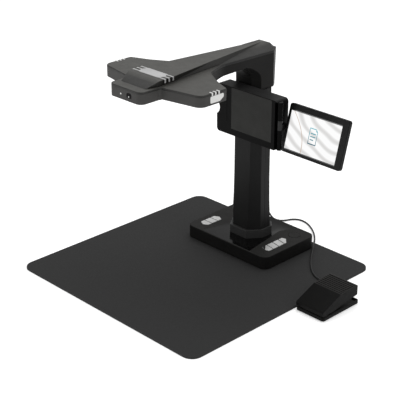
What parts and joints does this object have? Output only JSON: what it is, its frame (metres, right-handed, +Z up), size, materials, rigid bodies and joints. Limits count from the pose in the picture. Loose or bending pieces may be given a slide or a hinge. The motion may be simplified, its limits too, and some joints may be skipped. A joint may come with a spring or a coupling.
{
  "type": "book scanner",
  "caption": "Overhead book scanner: black mat, keyed console, column and arm with a winged camera head, a swing-out tilting screen and a corded foot pedal.",
  "frame": {"origin": "centre of the mat's underside, on the table", "axes": "+Z up, +X to the reader's right, +Y away from the reader towards the column"},
  "size_m": [0.551, 0.5515, 0.4253],
  "materials": {
    "mat_top": "fine-grained soft mat",
    "mat_backing": "non-slip foam",
    "console_plastic": "satin moulded",
    "gloss_black": "polished",
    "column_plastic": "satin gloss",
    "arm_plastic": "satin gloss",
    "hood_plastic": "satin moulded",
    "key_silver": "silver satin",
    "button_black": "satin",
    "inlay_silver": "satin silver",
    "lamp_white": "opal",
    "window_dark": "tinted",
    "lens_housing": "satin gloss",
    "lens_glass": "coated",
    "cradle_plastic": "satin gloss",
    "cradle_panel": "fine texture",
    "hinge_metal": "black satin",
    "screen_plastic": "satin gloss",
    "display": "lit display under glass",
    "circuit_board": "solder mask",
    "steel": "zinc plated",
    "socket_metal": "nickel plated",
    "socket_black": "moulded",
    "foot_rubber": "matt",
    "pedal_plastic": "satin moulded",
    "cable_rubber": "soft sheath"
  },
  "bodies": {
    "scanner": {"arm_lower_shell": "arm_plastic", "arm_top_cover": "hood_plastic", "ballast_plate": "steel", "book_mat": "mat_top", "cable_plug": "cable_rubber", "camera_housing": "lens_housing", "case_screws": "steel", "centre_deck": "gloss_black", "collar": "gloss_black", "column_front_shell": "column_plastic", "column_mast": "steel", "column_rear_shell": "column_plastic", "console_cover": "console_plastic", "console_tray": "console_plastic", "cradle_bracket": "cradle_plastic", "cradle_front": "cradle_plastic", "cradle_panel": "cradle_panel", "cradle_rear_cover": "cradle_plastic", "dc_socket": "socket_black", "gill_inlays": "lamp_white", "head_boards": "circuit_board", "head_upper_shell": "hood_plastic", "hinge_pin": "hinge_metal", "hood_inlay": "inlay_silver", "key_boards": "circuit_board", "laser_emitters": "window_dark", "lens_barrel": "lens_housing", "lens_glass": "lens_glass", "main_board": "circuit_board", "mat_underlay": "mat_backing", "nose_lights": "lamp_white", "nose_window": "window_dark", "pedal_base": "pedal_plastic", "pedal_cable": "cable_rubber", "pedal_pin": "steel", "pedal_socket": "socket_black", "pedal_spring": "steel", "pedal_strain_relief": "cable_rubber", "pedal_switch": "socket_black", "rear_port_plate": "console_plastic", "rubber_feet": "foot_rubber", "side_diffusers": "lamp_white", "usb_socket": "socket_metal", "wing_lamp_lenses": "lamp_white"},
    "key_left_1": {"key_left_1": "key_silver"},
    "key_left_2": {"key_left_2": "key_silver"},
    "key_left_3": {"key_left_3": "key_silver"},
    "key_right_1": {"key_right_1": "key_silver"},
    "key_right_2": {"key_right_2": "key_silver"},
    "key_right_3": {"key_right_3": "key_silver"},
    "key_right_4": {"key_right_4": "key_silver"},
    "power_button": {"power_button": "button_black"},
    "screen_knuckle": {"hinge_knuckle": "hinge_metal"},
    "screen_carrier": {"tilt_shaft": "hinge_metal"},
    "screen": {"screen_bezel": "screen_plastic", "screen_glass": "display", "screen_cover": "screen_plastic", "screen_board": "circuit_board"},
    "treadle": {"pedal_treadle": "pedal_plastic"}
  },
  "joints": [
    {"name": "key_left_1_press", "type": "slide", "parent": "scanner", "child": "key_left_1", "axis": [0, 0, -1], "range_m": [0, 0.0012], "stiffness_N_per_m": 500, "springref_m": -0.0006},
    {"name": "key_left_2_press", "type": "slide", "parent": "scanner", "child": "key_left_2", "axis": [0, 0, -1], "range_m": [0, 0.0012], "stiffness_N_per_m": 500, "springref_m": -0.0006},
    {"name": "key_left_3_press", "type": "slide", "parent": "scanner", "child": "key_left_3", "axis": [0, 0, -1], "range_m": [0, 0.0012], "stiffness_N_per_m": 500, "springref_m": -0.0006},
    {"name": "key_right_1_press", "type": "slide", "parent": "scanner", "child": "key_right_1", "axis": [0, 0, -1], "range_m": [0, 0.0012], "stiffness_N_per_m": 500, "springref_m": -0.0006},
    {"name": "key_right_2_press", "type": "slide", "parent": "scanner", "child": "key_right_2", "axis": [0, 0, -1], "range_m": [0, 0.0012], "stiffness_N_per_m": 500, "springref_m": -0.0006},
    {"name": "key_right_3_press", "type": "slide", "parent": "scanner", "child": "key_right_3", "axis": [0, 0, -1], "range_m": [0, 0.0012], "stiffness_N_per_m": 500, "springref_m": -0.0006},
    {"name": "key_right_4_press", "type": "slide", "parent": "scanner", "child": "key_right_4", "axis": [0, 0, -1], "range_m": [0, 0.0012], "stiffness_N_per_m": 500, "springref_m": -0.0006},
    {"name": "power_button_press", "type": "slide", "parent": "scanner", "child": "power_button", "axis": [0, 0, -1], "range_m": [0, 0.0012], "stiffness_N_per_m": 500, "springref_m": -0.0006},
    {"name": "screen_swing", "type": "hinge", "parent": "scanner", "child": "screen_knuckle", "pos_m": [0.1245, 0.0935, 0.3], "axis": [0, 0, -1], "range_deg": [0, 180]},
    {"name": "screen_level", "type": "hinge", "parent": "screen_knuckle", "child": "screen_carrier", "pos_m": [0.13, 0.107, 0.3035], "axis": [1, 0, 0], "range_deg": [0, 15]},
    {"name": "screen_flip", "type": "hinge", "parent": "screen_carrier", "child": "screen", "pos_m": [0.13, 0.107, 0.3035], "axis": [1, 0, 0], "range_deg": [0, 180]},
    {"name": "pedal_press", "type": "hinge", "parent": "scanner", "child": "treadle", "pos_m": [0.278, 0.026, 0.011], "axis": [-1, 0, 0], "range_deg": [0, 7], "stiffness_Nm_per_rad": 0.5, "springref_deg": -17.19}
  ],
  "couplings": [
    {"joint": "screen_level", "follows": "screen_swing", "ratio": 0.08333}
  ]
}
